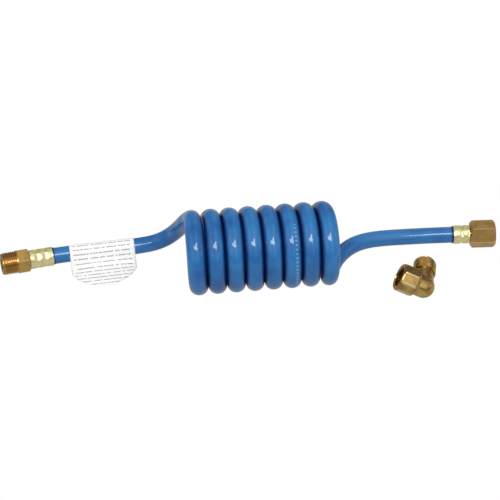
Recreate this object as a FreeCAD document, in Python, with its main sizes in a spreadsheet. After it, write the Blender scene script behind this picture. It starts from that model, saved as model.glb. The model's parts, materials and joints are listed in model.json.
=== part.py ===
"""Coiled air hose with a tapered male end, a swivel female end and a loose street elbow.

Millimetres. +Z is up and z = 0 is the surface that everything lies on. +X runs along the
coil's axis from the male (inlet) end to the swivel (outlet) end, and -Y is the front.
The origin is the middle of the assembly's footprint.
"""
import FreeCAD
import Part
import math
import os

from FreeCAD import Placement, Rotation, Vector

os.makedirs("parts", exist_ok=True)
doc = FreeCAD.newDocument("coiled_air_hose")

# ---------------------------------------------------------------- driving dimensions
SIZES = {
    # hose
    "hose_outer": 12.7,
    "hose_bore": 8.0,
    "coil_outer": 63.6,
    "coil_pitch": 13.9,
    "coil_turns": 8,
    "coil_overhang": 3.2,          # how far the coil's solid passes its last turns' tubes
    "coil_x": 4.69,                # the coil's middle, from the origin
    "coil_y": -5.015,
    # crimped ferrules
    "ferrule_outer": 14.6,
    "inlet_ferrule_length": 18.0,
    "outlet_ferrule_length": 12.4,
    "ferrule_end_wall": 1.2,
    "ferrule_gap": 0.3,            # between the ferrule and the collar or nut beside it
    "crimp_groove": 1.6,           # radius of the jaw that rolls each crimp
    "crimp_depth": 0.45,
    # barbed stems
    "stem_neck": 10.0,
    "stem_bore": 5.5,
    "barb_length": 3.6,
    "inlet_barbs": 4,
    "outlet_barbs": 3,
    "barb_depth": 0.4,
    "neck_clearance": 0.05,
    # male end, 3/8 in pipe thread
    "inlet_hex": 17.46,
    "inlet_hex_length": 8.8,
    "pipe_thread": 17.14,
    "inlet_thread_length": 11.6,
    "thread_chamfer": 1.3,
    "inlet_thread_bore": 9.4,
    "hex_chamfer": 1.6,
    # swivel end, 5/8-18 flare nut
    "nut_hex": 19.05,
    "nut_length": 19.2,
    "nut_wall": 2.8,
    "nut_thread": 14.4,            # across the thread's crests
    "nut_thread_relief": 15.4,
    "nut_relief_length": 6.4,
    "nut_clearance": 0.2,          # between the nut and the tailpiece, all round
    "seat_length": 6.0,
    "seat_mouth": 11.4,
    # street elbow, 3/8 in pipe thread
    "elbow_hex": 20.64,
    "elbow_hex_start": 6.2,
    "elbow_female_reach": 20.4,
    "elbow_male_reach": 27.2,
    "elbow_thread_length": 12.6,
    "elbow_neck": 14.2,
    "elbow_bend": 16.8,
    "elbow_passage": 9.6,
    "elbow_socket": 15.2,          # across the female thread's crests
    "elbow_socket_depth": 11.5,
    # film label folded round the hose
    "label_width": 50.0,
    "label_reach": 33.0,           # from the hose's middle line to the label's rounded end
    "label_end_radius": 27.6,
    "label_film": 0.2,
    "label_slack": 0.3,            # between the hose and the film round it
}

sheet = doc.addObject("Spreadsheet::Sheet", "Sizes")
for row, (alias, value) in enumerate(SIZES.items(), start=1):
    sheet.set(f"A{row}", alias)
    sheet.set(f"B{row}", str(value))
    sheet.setAlias(f"B{row}", alias)
doc.recompute()

# where each end lies: the place of the stem's shoulder, from the coil's middle, and its heading
INLET_SHOULDER = (-176.6, 31.9)
INLET_HEADING = 195.6             # degrees from +X, seen from above
INLET_RISE = 6.0                  # degrees up towards the thread
INLET_HEX_TURN = 8.0              # degrees the hexagon is turned from standing on a corner
OUTLET_SHOULDER = (168.0, 24.2)
OUTLET_HEADING = -9.2
OUTLET_RISE = 4.5
ELBOW_CROSSING = (117.0, -31.4)   # where the elbow's two axes cross
ELBOW_MALE_HEADING = 73.4
ELBOW_TILT = 22.0                 # the female branch leans up on the shoulder of its hexagon
ELBOW_SIDES = 8
SURFACE_GAP = 0.05                # the fittings stand this far clear of the surface

STRAIGHT_EXIT = 24.0              # how far the hose keeps straight from its cut end, past the ferrule
LABEL_MIDDLE = (-120.6, 40.85, 7.15)
LABEL_HEADING = 3.8

# hose routes from each straight exit to the coil, from the coil's middle: x, y and the middle line's height
INLET_ROUTE = [
    (-127.0, 40.6, 7.1),
    (-103.5, 41.7, 7.1),
    (-91.0, 43.1, 7.1),
    (-81.0, 43.6, 8.0),
    (-72.5, 43.0, 11.6),
    (-65.5, 41.2, 17.7),
    (-60.4, 37.8, 25.4),
    (-57.2, 32.6, 33.2),
    (-55.2, 26.4, 40.8),
    (-54.0, 20.0, 48.2),
]
OUTLET_ROUTE = [
    (51.2, -7.4, 7.2),
    (53.6, 0.2, 6.6),
    (57.4, 7.6, 6.6),
    (62.6, 14.4, 6.7),
    (69.0, 20.6, 6.8),
    (77.2, 26.1, 6.8),
    (88.2, 29.5, 6.8),
    (101.6, 30.4, 6.8),
    (118.8, 30.0, 6.8),
]


def size(alias):
    """A value of the sheet, for the few shapes that are not primitives."""
    return float(sheet.get(alias))


# ---------------------------------------------------------------- primitives bound to the sheet
def bind(item, **expressions):
    for name, expression in expressions.items():
        item.setExpression(name.replace("__", "."), expression)
    return item


def set_along(item, start, along):
    """Starts a primitive at a distance along local +Z, or along local +X if asked."""
    if along == "x":
        item.Placement = Placement(Vector(0, 0, 0), Rotation(Vector(0, 1, 0), 90))
    return bind(item, **{f"Placement__Base__{along}": start})


def cylinder(name, diameter, length, start="0", along="z"):
    item = doc.addObject("Part::Cylinder", name)
    bind(item, Radius=f"({diameter}) / 2", Height=length)
    return set_along(item, start, along)


def cone(name, first, last, length, start="0", along="z"):
    item = doc.addObject("Part::Cone", name)
    bind(item, Radius1=f"({first}) / 2", Radius2=f"({last}) / 2", Height=length)
    return set_along(item, start, along)


def prism(name, sides, across_flats, length, start):
    item = doc.addObject("Part::Prism", name)
    item.Polygon = sides
    bind(item, Circumradius=f"({across_flats}) / 2 / cos(180 deg / {sides})", Height=length)
    return bind(item, Placement__Base__z=start)


def fuse(name, items):
    item = doc.addObject("Part::MultiFuse", name)
    item.Shapes = items
    return item


def common(name, items):
    item = doc.addObject("Part::MultiCommon", name)
    item.Shapes = items
    return item


def cut(name, base, tool):
    item = doc.addObject("Part::Cut", name)
    item.Base = base
    item.Tool = tool
    return item


def turned_prism(name, sides, across_flats, length, start, front_chamfer, back_chamfer):
    """Wrench flats whose corners are turned down to a cone at the ends that ask for it."""
    flats = prism(f"{name}_prism", sides, across_flats, length, start)
    corners = f"({across_flats}) / cos(180 deg / {sides})"
    depth = "Sizes.hex_chamfer"
    face = f"({across_flats}) * 0.98"
    body_start = f"{start} + {depth}" if back_chamfer else start
    body_length = f"{length} - {depth} * {int(front_chamfer) + int(back_chamfer)}"
    blank = [cylinder(f"{name}_blank", f"{corners} + 0.02", body_length, body_start)]
    if back_chamfer:
        blank.append(cone(f"{name}_back", face, f"{corners} + 0.02", depth, start))
    if front_chamfer:
        front_start = f"{start} + {length} - {depth}"
        blank.append(cone(f"{name}_front", f"{corners} + 0.02", face, depth, front_start))
    turned = blank[0] if len(blank) == 1 else fuse(f"{name}_turning", blank)
    return common(name, [flats, turned])


def stem_length(barbs):
    return f"({barbs} * Sizes.barb_length + Sizes.ferrule_end_wall + Sizes.ferrule_gap)"


def barbed_stem(name, barbs):
    """Saw-toothed barbs that fill the hose's bore, from inside the hose out to the shoulder."""
    start = f"-{stem_length(barbs)}"
    root = "Sizes.hose_bore - 2 * Sizes.barb_depth"
    pieces = [cylinder(f"{name}_core", root, stem_length(barbs), start)]
    for index in range(barbs):
        pieces.append(cone(f"{name}_barb_{index + 1}", root, "Sizes.hose_bore", "Sizes.barb_length",
                           f"{start} + {index} * Sizes.barb_length"))
    pieces.append(cylinder(f"{name}_neck", "Sizes.stem_neck", "Sizes.ferrule_end_wall + Sizes.ferrule_gap",
                           "-(Sizes.ferrule_end_wall + Sizes.ferrule_gap)"))
    return pieces


def ferrule(label, length):
    """A brass sleeve over the hose, rolled in along two crimps, its end wall round the stem's neck."""
    start = f"-({length} + Sizes.ferrule_gap)"
    sleeve = cylinder(f"{label}_sleeve", "Sizes.ferrule_outer", length, start)
    hose_room = cylinder(f"{label}_hose_room", "Sizes.hose_outer", f"{length} - Sizes.ferrule_end_wall", start)
    neck_hole = cylinder(f"{label}_neck_hole", "Sizes.stem_neck + 2 * Sizes.neck_clearance",
                         f"{length}", start)
    tools = [hose_room, neck_hole]
    for index in range(2):
        crimp = doc.addObject("Part::Torus", f"{label}_crimp_{index + 1}")
        bind(crimp,
             Radius1="Sizes.ferrule_outer / 2 + Sizes.crimp_groove - Sizes.crimp_depth",
             Radius2="Sizes.crimp_groove",
             Placement__Base__z=f"{start} + {length} * {(index + 1.0) / 3.0}")
        tools.append(crimp)
    return cut(label, sleeve, fuse(f"{label}_tools", tools))


# ---------------------------------------------------------------- places of the two ends and the elbow
COIL_MIDDLE = Vector(size("coil_x"), size("coil_y"), 0)


def heading_vector(heading, rise):
    turn = math.radians(heading)
    lift = math.radians(rise)
    return Vector(math.cos(turn) * math.cos(lift), math.sin(turn) * math.cos(lift), math.sin(lift))


def end_placement(shoulder, heading, rise, height_at, height, roll):
    """Local +Z points out of the hose. height is that of the axis at height_at past the shoulder."""
    out = heading_vector(heading, rise)
    base = COIL_MIDDLE + Vector(shoulder[0], shoulder[1], height - height_at * out.z)
    side = Vector(0, 0, 1).cross(out).normalize()
    return Placement(base, Rotation(side, out.cross(side), out, "ZXY") * Rotation(Vector(0, 0, 1), roll))


inlet_hex_middle = size("inlet_hex_length") / 2
inlet_corner = size("inlet_hex") / 2 / math.cos(math.radians(30)) * math.cos(math.radians(INLET_HEX_TURN))
inlet_drop = inlet_hex_middle * math.sin(math.radians(INLET_RISE))
inlet_place = end_placement(INLET_SHOULDER, INLET_HEADING, INLET_RISE, inlet_hex_middle,
                            inlet_corner + inlet_drop + SURFACE_GAP, 90.0 + INLET_HEX_TURN)
nut_middle = size("ferrule_gap") + size("nut_length") / 2
nut_drop = size("nut_length") / 2 * math.sin(math.radians(OUTLET_RISE))
outlet_place = end_placement(OUTLET_SHOULDER, OUTLET_HEADING, OUTLET_RISE, nut_middle,
                             size("nut_hex") / 2 + nut_drop + SURFACE_GAP, 0.0)


# ---------------------------------------------------------------- hose
def rounded_path(points):
    """Straight runs joined by tangent arcs, each as large as its two runs allow."""
    edges = []
    radii = []
    start = points[0]
    for index in range(1, len(points) - 1):
        corner = points[index]
        back = points[index - 1] - corner
        ahead = points[index + 1] - corner
        turn = math.pi - back.getAngle(ahead)
        reach = 0.45 * min(back.Length, ahead.Length)
        radii.append(reach / math.tan(turn / 2))
        back.normalize()
        ahead.normalize()
        first = corner + back * reach
        last = corner + ahead * reach
        inward = (back + ahead).normalize()
        middle = corner + inward * (radii[-1] / math.cos(turn / 2) - radii[-1])
        edges.append(Part.LineSegment(start, first).toShape())
        edges.append(Part.Arc(first, middle, last).toShape())
        start = last
    edges.append(Part.LineSegment(start, points[-1]).toShape())
    return Part.Wire(edges), radii


def swept_round(wire, radius):
    edge = wire.OrderedEdges[0]
    start = edge.valueAt(edge.FirstParameter)
    heading = edge.tangentAt(edge.FirstParameter)
    section = Part.Wire([Part.Circle(start, heading, radius).toShape()])
    return wire.makePipeShell([section], True, True)


def hose_tube(label, points):
    wire, radii = rounded_path(points)
    outer = swept_round(wire, size("hose_outer") / 2)
    inner = swept_round(wire, size("hose_bore") / 2)
    tube = outer.cut(inner)
    section = math.pi * (size("hose_outer") ** 2 - size("hose_bore") ** 2) / 4
    print(label, "length", round(wire.Length, 1), "radii", [round(value, 1) for value in radii])
    print(label, "volume over section x length", round(tube.Volume / (section * wire.Length), 4))
    return tube


def straight_exit(place):
    """The hose's cut end, against the ferrule's end wall, and the point where it may begin to bend."""
    cut_end = size("ferrule_end_wall") + size("ferrule_gap")
    return [place.multVec(Vector(0, 0, -cut_end)), place.multVec(Vector(0, 0, -cut_end - STRAIGHT_EXIT))]


def from_coil(points):
    return [COIL_MIDDLE + Vector(*point) for point in points]


COIL_LENGTH = "((Sizes.coil_turns - 1) * Sizes.coil_pitch + Sizes.hose_outer + 2 * Sizes.coil_overhang)"
coil_axis = Placement(COIL_MIDDLE + Vector(0, 0, size("coil_outer") / 2), Rotation())


def hose_in_coil():
    """The wound turns as one hollow cylinder of their outer and inner size."""
    outside = cylinder("coil_outside", "Sizes.coil_outer", COIL_LENGTH, f"-{COIL_LENGTH} / 2", "x")
    inside = cylinder("coil_inside", "Sizes.coil_outer - 2 * Sizes.hose_outer", COIL_LENGTH,
                      f"-{COIL_LENGTH} / 2", "x")
    return cut("hose_coil", outside, inside)


def coil_room():
    """All the space between the planes of the coil's two ends, where the tails stop."""
    block = doc.addObject("Part::Box", "coil_room_block")
    reach = "2 * Sizes.coil_outer"
    bind(block, Length=COIL_LENGTH, Width=reach, Height=reach)
    bind(block, Placement__Base__x=f"Sizes.coil_x - {COIL_LENGTH} / 2",
         Placement__Base__y=f"Sizes.coil_y - {reach} / 2", Placement__Base__z=f"-{reach} / 2")
    return block


hose_coil = hose_in_coil()
hose_coil.Placement = coil_axis

inlet_points = straight_exit(inlet_place) + from_coil(INLET_ROUTE)
outlet_points = from_coil(OUTLET_ROUTE) + straight_exit(outlet_place)[::-1]
inlet_tube = doc.addObject("Part::Feature", "hose_inlet_tail_tube")
inlet_tube.Shape = hose_tube("hose_inlet_tail", inlet_points)
outlet_tube = doc.addObject("Part::Feature", "hose_outlet_tail_tube")
outlet_tube.Shape = hose_tube("hose_outlet_tail", outlet_points)
between_ends = coil_room()
hose_inlet_tail = cut("hose_inlet_tail", inlet_tube, between_ends)
hose_outlet_tail = cut("hose_outlet_tail", outlet_tube, between_ends)


# ---------------------------------------------------------------- male (inlet) end
def male_stem():
    barbs = int(size("inlet_barbs"))
    pieces = barbed_stem("male_stem", barbs)
    pieces.append(turned_prism("male_stem_hex", 6, "Sizes.inlet_hex", "Sizes.inlet_hex_length", "0", False, True))
    thread_start = "Sizes.inlet_hex_length"
    pieces.append(cylinder("male_stem_thread", "Sizes.pipe_thread",
                           "Sizes.inlet_thread_length - Sizes.thread_chamfer", thread_start))
    pieces.append(cone("male_stem_lead", "Sizes.pipe_thread", "Sizes.pipe_thread - 2 * Sizes.thread_chamfer",
                       "Sizes.thread_chamfer",
                       f"{thread_start} + Sizes.inlet_thread_length - Sizes.thread_chamfer"))
    solid = fuse("male_stem_solid", pieces)
    bore = cylinder("male_stem_bore", "Sizes.stem_bore",
                    f"{stem_length(barbs)} + Sizes.inlet_hex_length + Sizes.inlet_thread_length",
                    f"-{stem_length(barbs)}")
    mouth = cylinder("male_stem_mouth", "Sizes.inlet_thread_bore", "Sizes.inlet_thread_length", thread_start)
    return cut("male_stem", solid, fuse("male_stem_passage", [bore, mouth]))


stem = male_stem()
stem.Placement = inlet_place
inlet_ferrule = ferrule("inlet_ferrule", "Sizes.inlet_ferrule_length")
inlet_ferrule.Placement = inlet_place


# ---------------------------------------------------------------- swivel (outlet) end
def swivel_tailpiece():
    barbs = int(size("outlet_barbs"))
    pieces = barbed_stem("swivel_tailpiece", barbs)
    flange_start = "(Sizes.ferrule_gap + Sizes.nut_wall + Sizes.nut_clearance)"
    pieces.append(cylinder("swivel_tailpiece_journal", "Sizes.stem_neck", flange_start))
    pieces.append(cylinder("swivel_tailpiece_flange", "Sizes.nut_thread - 2 * Sizes.nut_clearance",
                           "Sizes.seat_length", flange_start))
    solid = fuse("swivel_tailpiece_solid", pieces)
    bore = cylinder("swivel_tailpiece_bore", "Sizes.stem_bore",
                    f"{stem_length(barbs)} + {flange_start} + Sizes.seat_length", f"-{stem_length(barbs)}")
    seat_depth = "(Sizes.seat_mouth - Sizes.stem_bore) / 2"
    seat = cone("swivel_tailpiece_seat", "Sizes.stem_bore", "Sizes.seat_mouth", seat_depth,
                f"{flange_start} + Sizes.seat_length - {seat_depth}")
    return cut("swivel_tailpiece", solid, fuse("swivel_tailpiece_passage", [bore, seat]))


def swivel_nut():
    body = turned_prism("swivel_nut_body", 6, "Sizes.nut_hex", "Sizes.nut_length", "Sizes.ferrule_gap", True, True)
    hole = cylinder("swivel_nut_hole", "Sizes.stem_neck + 2 * Sizes.nut_clearance",
                    "Sizes.nut_length", "Sizes.ferrule_gap")
    relief = cylinder("swivel_nut_relief", "Sizes.nut_thread_relief", "Sizes.nut_relief_length",
                      "Sizes.ferrule_gap + Sizes.nut_wall")
    thread = cylinder("swivel_nut_thread", "Sizes.nut_thread", "Sizes.nut_length - Sizes.nut_wall",
                      "Sizes.ferrule_gap + Sizes.nut_wall")
    return cut("swivel_nut", body, fuse("swivel_nut_inside", [hole, relief, thread]))


tailpiece = swivel_tailpiece()
tailpiece.Placement = outlet_place
outlet_ferrule = ferrule("outlet_ferrule", "Sizes.outlet_ferrule_length")
outlet_ferrule.Placement = outlet_place
nut = swivel_nut()
nut.Placement = outlet_place


# ---------------------------------------------------------------- street elbow
def street_elbow():
    """Female branch along local +Z, male branch along local +X; their axes cross at the local origin."""
    bend = bind(doc.addObject("Part::Sphere", "elbow_bend_ball"), Radius="Sizes.elbow_bend / 2")
    throat = cylinder("elbow_throat", "Sizes.elbow_bend", "Sizes.elbow_hex_start + Sizes.hex_chamfer")
    flats = turned_prism("elbow_flats", ELBOW_SIDES, "Sizes.elbow_hex",
                         "Sizes.elbow_female_reach - Sizes.elbow_hex_start", "Sizes.elbow_hex_start", True, True)
    flats.Placement = Placement(Vector(0, 0, 0), Rotation(Vector(0, 0, 1), 180.0 / ELBOW_SIDES))
    neck = cylinder("elbow_male_neck", "Sizes.elbow_neck", "Sizes.elbow_male_reach - Sizes.thread_chamfer", along="x")
    thread = cylinder("elbow_male_thread", "Sizes.pipe_thread", "Sizes.elbow_thread_length - Sizes.thread_chamfer",
                      "Sizes.elbow_male_reach - Sizes.elbow_thread_length", "x")
    lead = cone("elbow_male_lead", "Sizes.pipe_thread", "Sizes.pipe_thread - 2 * Sizes.thread_chamfer",
                "Sizes.thread_chamfer", "Sizes.elbow_male_reach - Sizes.thread_chamfer", "x")
    solid = fuse("elbow_solid", [bend, throat, flats, neck, thread, lead])
    corner = bind(doc.addObject("Part::Sphere", "elbow_passage_corner"), Radius="Sizes.elbow_passage / 2")
    female_passage = cylinder("elbow_female_passage", "Sizes.elbow_passage", "Sizes.elbow_female_reach")
    male_passage = cylinder("elbow_male_passage", "Sizes.elbow_passage", "Sizes.elbow_male_reach", along="x")
    socket = cylinder("elbow_socket_bore", "Sizes.elbow_socket", "Sizes.elbow_socket_depth",
                      "Sizes.elbow_female_reach - Sizes.elbow_socket_depth")
    return cut("street_elbow", solid, fuse("elbow_inside", [corner, female_passage, male_passage, socket]))


male_out = heading_vector(ELBOW_MALE_HEADING, 0.0)
level_out = heading_vector(ELBOW_MALE_HEADING + 90.0, 0.0)
tilt = math.radians(ELBOW_TILT)
female_out = level_out * math.cos(tilt) + Vector(0, 0, math.sin(tilt))
elbow_place = Placement(COIL_MIDDLE + Vector(*ELBOW_CROSSING, size("pipe_thread") / 2 + SURFACE_GAP),
                        Rotation(male_out, female_out.cross(male_out), female_out, "ZXY"))
elbow = street_elbow()
elbow.Placement = elbow_place


# ---------------------------------------------------------------- label
def label_tag():
    """A film wrapped round the hose, its two ends stuck together and lying forwards with a rounded end.

    Local +X runs along the hose, which is at the local origin, and the film's flat part lies towards -Y.
    """
    width = "Sizes.label_width"
    start = f"-{width} / 2"
    inside = "Sizes.hose_outer + 2 * Sizes.label_slack"
    outside = f"{inside} + 2 * Sizes.label_film"
    wrap = cut("label_wrap", cylinder("label_wrap_outside", outside, width, start, "x"),
               cylinder("label_wrap_inside", inside, width, start, "x"))
    level = f"-({outside}) / 2"
    thickness = "2 * Sizes.label_film"
    sheet_box = doc.addObject("Part::Box", "label_sheet")
    bind(sheet_box, Length=width, Width="Sizes.label_reach", Height=thickness)
    bind(sheet_box, Placement__Base__x=start, Placement__Base__y="-Sizes.label_reach", Placement__Base__z=level)
    upper_box = doc.addObject("Part::Box", "label_upper")
    upper_length = "Sizes.label_reach - Sizes.label_end_radius"
    bind(upper_box, Length=width, Width=upper_length, Height=thickness)
    bind(upper_box, Placement__Base__x=start, Placement__Base__y=f"-({upper_length})", Placement__Base__z=level)
    end = doc.addObject("Part::Cylinder", "label_end")
    bind(end, Radius="Sizes.label_end_radius", Height=thickness)
    bind(end, Placement__Base__y=f"-({upper_length})", Placement__Base__z=level)
    flat = common("label_flat", [sheet_box, fuse("label_outline", [upper_box, end])])
    return fuse("label_tag", [wrap, flat])


label = label_tag()
label.Placement = Placement(COIL_MIDDLE + Vector(*LABEL_MIDDLE), Rotation(Vector(0, 0, 1), LABEL_HEADING))

# ---------------------------------------------------------------- checks and export
SUB_PARTS = {
    "male_stem": stem,
    "inlet_ferrule": inlet_ferrule,
    "hose_inlet_tail": hose_inlet_tail,
    "label_tag": label,
    "hose_coil": hose_coil,
    "hose_outlet_tail": hose_outlet_tail,
    "outlet_ferrule": outlet_ferrule,
    "swivel_tailpiece": tailpiece,
    "swivel_nut": nut,
    "street_elbow": elbow,
}

doc.recompute()
for item in doc.Objects:
    if "Invalid" in item.State or "Error" in item.State:
        raise RuntimeError(f"{item.Name} did not rebuild: {item.State}")
box = FreeCAD.BoundBox()
for node, item in SUB_PARTS.items():
    item.Label = node
    if item.Shape.isNull() or not item.Shape.isValid():
        raise RuntimeError(f"{node} has no valid shape")
    if len(item.Shape.Solids) != 1:
        raise RuntimeError(f"{node} has {len(item.Shape.Solids)} solids")
    box.add(item.Shape.optimalBoundingBox(False))
    print(node, "volume", round(item.Shape.Volume, 1))
for node, item in SUB_PARTS.items():
    item.Shape.exportStep(f"parts/{node}.step")
for name, place in (("inlet", inlet_place), ("outlet", outlet_place), ("elbow", elbow_place)):
    axes = [place.Rotation.multVec(Vector(*axis)) for axis in ((1, 0, 0), (0, 0, 1))]
    print(name, "at", [round(value, 4) for value in place.Base],
          "x", [round(value, 6) for value in axes[0]], "z", [round(value, 6) for value in axes[1]])
print("box", [round(value, 2) for value in (box.XMin, box.XMax, box.YMin, box.YMax, box.ZMin, box.ZMax)])
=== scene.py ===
import bmesh
import bpy
import json
import math
from bpy.props import FloatProperty, FloatVectorProperty, IntProperty, PointerProperty
from mathutils import Matrix, Vector
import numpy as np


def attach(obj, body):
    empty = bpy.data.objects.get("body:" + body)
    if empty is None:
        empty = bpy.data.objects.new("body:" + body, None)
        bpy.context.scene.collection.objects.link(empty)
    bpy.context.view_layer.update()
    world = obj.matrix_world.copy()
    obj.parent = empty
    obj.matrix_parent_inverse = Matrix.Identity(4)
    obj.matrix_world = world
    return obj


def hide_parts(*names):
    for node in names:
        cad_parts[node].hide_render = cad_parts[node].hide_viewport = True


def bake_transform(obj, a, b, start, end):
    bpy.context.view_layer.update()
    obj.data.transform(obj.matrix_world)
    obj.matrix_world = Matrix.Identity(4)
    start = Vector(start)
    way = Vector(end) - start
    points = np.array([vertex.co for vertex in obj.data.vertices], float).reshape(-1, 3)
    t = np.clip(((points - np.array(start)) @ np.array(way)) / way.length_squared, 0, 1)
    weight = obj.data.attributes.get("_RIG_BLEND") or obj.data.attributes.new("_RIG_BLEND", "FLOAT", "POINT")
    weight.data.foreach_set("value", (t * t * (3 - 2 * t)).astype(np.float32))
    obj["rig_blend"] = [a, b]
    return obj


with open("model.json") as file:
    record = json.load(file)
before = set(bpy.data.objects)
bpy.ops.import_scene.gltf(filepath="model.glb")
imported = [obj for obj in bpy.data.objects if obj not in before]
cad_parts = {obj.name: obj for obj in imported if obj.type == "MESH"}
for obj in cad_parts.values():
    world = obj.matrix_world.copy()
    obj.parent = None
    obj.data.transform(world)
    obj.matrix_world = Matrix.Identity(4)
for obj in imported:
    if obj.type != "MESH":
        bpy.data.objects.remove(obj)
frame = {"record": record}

bl_info = {
    "name": "Coiled air hose",
    "version": (1, 0, 0),
    "blender": (4, 5, 0),
    "location": "3D View > Sidebar > Air hose",
    "description": "Finishes a coiled air hose with brass fittings round its fixed frame",
    "category": "Object",
}

MM = 0.001
MOUNTS = {mount["name"]: mount for mount in frame["record"]["mounts"]}

# how far each mount's middle lies from its fitting's own origin, in millimetres
INLET_MOUNT_OFFSET = 13.95
OUTLET_MOUNT_OFFSET = 14.5
SOCKET_MOUNT_OFFSET = 14.65

# the hose's route, in metres: the inlet end, the coil's middle and the outlet end
COIL_MIDDLE = Vector((0.00469, -0.005015, 0.0318))
HOSE_IN_FERRULE = 0.0015
STRAIGHT_EXIT = 0.024
INLET_ROUTE = [
    (-0.12231, 0.035585, 0.0071),
    (-0.09881, 0.036685, 0.0071),
    (-0.08631, 0.038085, 0.0071),
    (-0.07631, 0.038585, 0.0080),
    (-0.06781, 0.037985, 0.0116),
    (-0.06081, 0.036185, 0.0177),
    (-0.05571, 0.032785, 0.0254),
    (-0.05251, 0.027585, 0.0332),
    (-0.05051, 0.021385, 0.0408),
]
OUTLET_ROUTE = [
    (0.05829, -0.004815, 0.0066),
    (0.06209, 0.002585, 0.0066),
    (0.06729, 0.009385, 0.0067),
    (0.07369, 0.015585, 0.0068),
    (0.08189, 0.021085, 0.0068),
    (0.09289, 0.024485, 0.0068),
    (0.10629, 0.025385, 0.0068),
    (0.12349, 0.024985, 0.0068),
]
TURNS = 8
POINTS_PER_TURN = 16
FIRST_POINT = -6                  # steps before the first turn's front
LAST_POINT = (TURNS - 1) * POINTS_PER_TURN + 3
STRETCH_EASE = 0.05               # share of the coil over which the opening eases in
SETTING = 6                       # the turns' set section comes in over one sixth of a turn
NEIGHBOUR_FROM = 0.6              # how many turns from the coil's end a turn has a neighbour
NEIGHBOUR_RISE = 4                # its painted shade on the flank comes in over a quarter of a turn
SET_SHRINK = 0.01                 # how much smaller the set section is

LABEL_MIDDLE = Vector((-0.11591, 0.035835, 0.00715))
LABEL_HEADING = math.radians(3.8)

# shared by the fittings, in millimetres
STEM_BORE = 2.75                  # radius of the bore through each stem
STEM_NECK = 5.0                   # radius of the neck that enters a ferrule
STEM_START = -1.4                 # where that neck starts, behind the fitting's own origin
PIPE_THREAD = 8.57                # radius over the ridges of the pipe threads
EDGE_HIGHLIGHT_MARGIN = 0.12              # how far inside a hexagon's corners the painted edge highlight starts
ELBOW_PASSAGE = 4.8               # radius of the elbow's passages
ELBOW_BEND = 8.4                  # radius of the elbow's bend
ELBOW_FLATS = 8


# ---------------------------------------------------------------- sizes and colours
LENGTH = {"unit": "LENGTH", "subtype": "DISTANCE"}
COLOUR = {"subtype": "COLOR", "size": 4, "min": 0.0, "max": 1.0}


class HoseSizes(bpy.types.PropertyGroup):
    """Sizes of the hose and its coil."""
    diameter: FloatProperty(name="Hose diameter", description="Outside diameter of the hose",
                            default=0.0127, min=0.004, max=0.03, **LENGTH)
    coil_radius: FloatProperty(name="Coil radius",
                               description="From the coil's axis to the hose's middle line",
                               default=0.02545, min=0.01, max=0.1, **LENGTH)
    pitch: FloatProperty(name="Pitch", description="From one turn to the next",
                         default=0.0139, min=0.005, max=0.05, **LENGTH)
    lean_back: FloatProperty(name="Lean to the back",
                             description="How far each turn leans along the coil per unit back",
                             default=0.0696, min=-0.5, max=0.5)
    lean_up: FloatProperty(name="Lean to the top",
                           description="How far each turn leans along the coil per unit up",
                           default=0.0625, min=-0.5, max=0.5)
    flattening: FloatProperty(name="Flattening",
                              description="How much wider along the coil the turns' section has set",
                              default=0.1, min=0.0, max=0.2)
    flare: FloatProperty(name="Flare", description="How far the hose swells where it enters each ferrule",
                         default=0.00045, min=0.0, max=0.002, **LENGTH)
    sides: IntProperty(name="Sides", description="Points round the hose", default=28, min=8, max=64)


class FittingSizes(bpy.types.PropertyGroup):
    """Sizes of the brass fittings, in millimetres apart from the edge rounding."""
    hex_across: FloatProperty(name="Hexagon across flats", description="Wrench size of the male end",
                              default=17.46, min=12.0, max=30.0)
    hex_length: FloatProperty(name="Hexagon length", description="Length of the male end's hexagon",
                              default=8.8, min=4.0, max=20.0)
    thread_length: FloatProperty(name="Thread length", description="Length of the male end's thread",
                                 default=11.6, min=6.0, max=20.0)
    nut_across: FloatProperty(name="Nut across flats", description="Wrench size of the swivel nut",
                              default=19.05, min=18.0, max=30.0)
    nut_end: FloatProperty(name="Nut mouth", description="From the swivel end's origin to the nut's mouth",
                           default=19.5, min=15.0, max=30.0)
    thread_pitch: FloatProperty(name="Thread pitch", description="Pitch of the pipe and flare threads",
                                default=1.411, min=0.5, max=3.0)
    thread_depth: FloatProperty(name="Thread depth", description="Height of the threads' ridges",
                                default=0.62, min=0.1, max=1.5)
    edge_round: FloatProperty(name="Edge rounding", description="Radius of the rounding along machined edges",
                              default=0.00028, min=0.0, max=0.001, **LENGTH)
    facets: IntProperty(name="Points round", description="Points round each turned piece",
                        default=96, min=24, max=192)


class LabelSizes(bpy.types.PropertyGroup):
    """Sizes of the film label, in millimetres."""
    width: FloatProperty(name="Label width", description="Width of the label along the hose",
                         default=50.0, min=20.0, max=80.0)
    reach: FloatProperty(name="Label reach",
                         description="From the hose's middle line to the label's free edge",
                         default=33.0, min=29.0, max=60.0)
    end_radius: FloatProperty(name="Label end radius", description="Radius of the label's rounded free end",
                              default=27.6, min=25.0, max=60.0)


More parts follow.
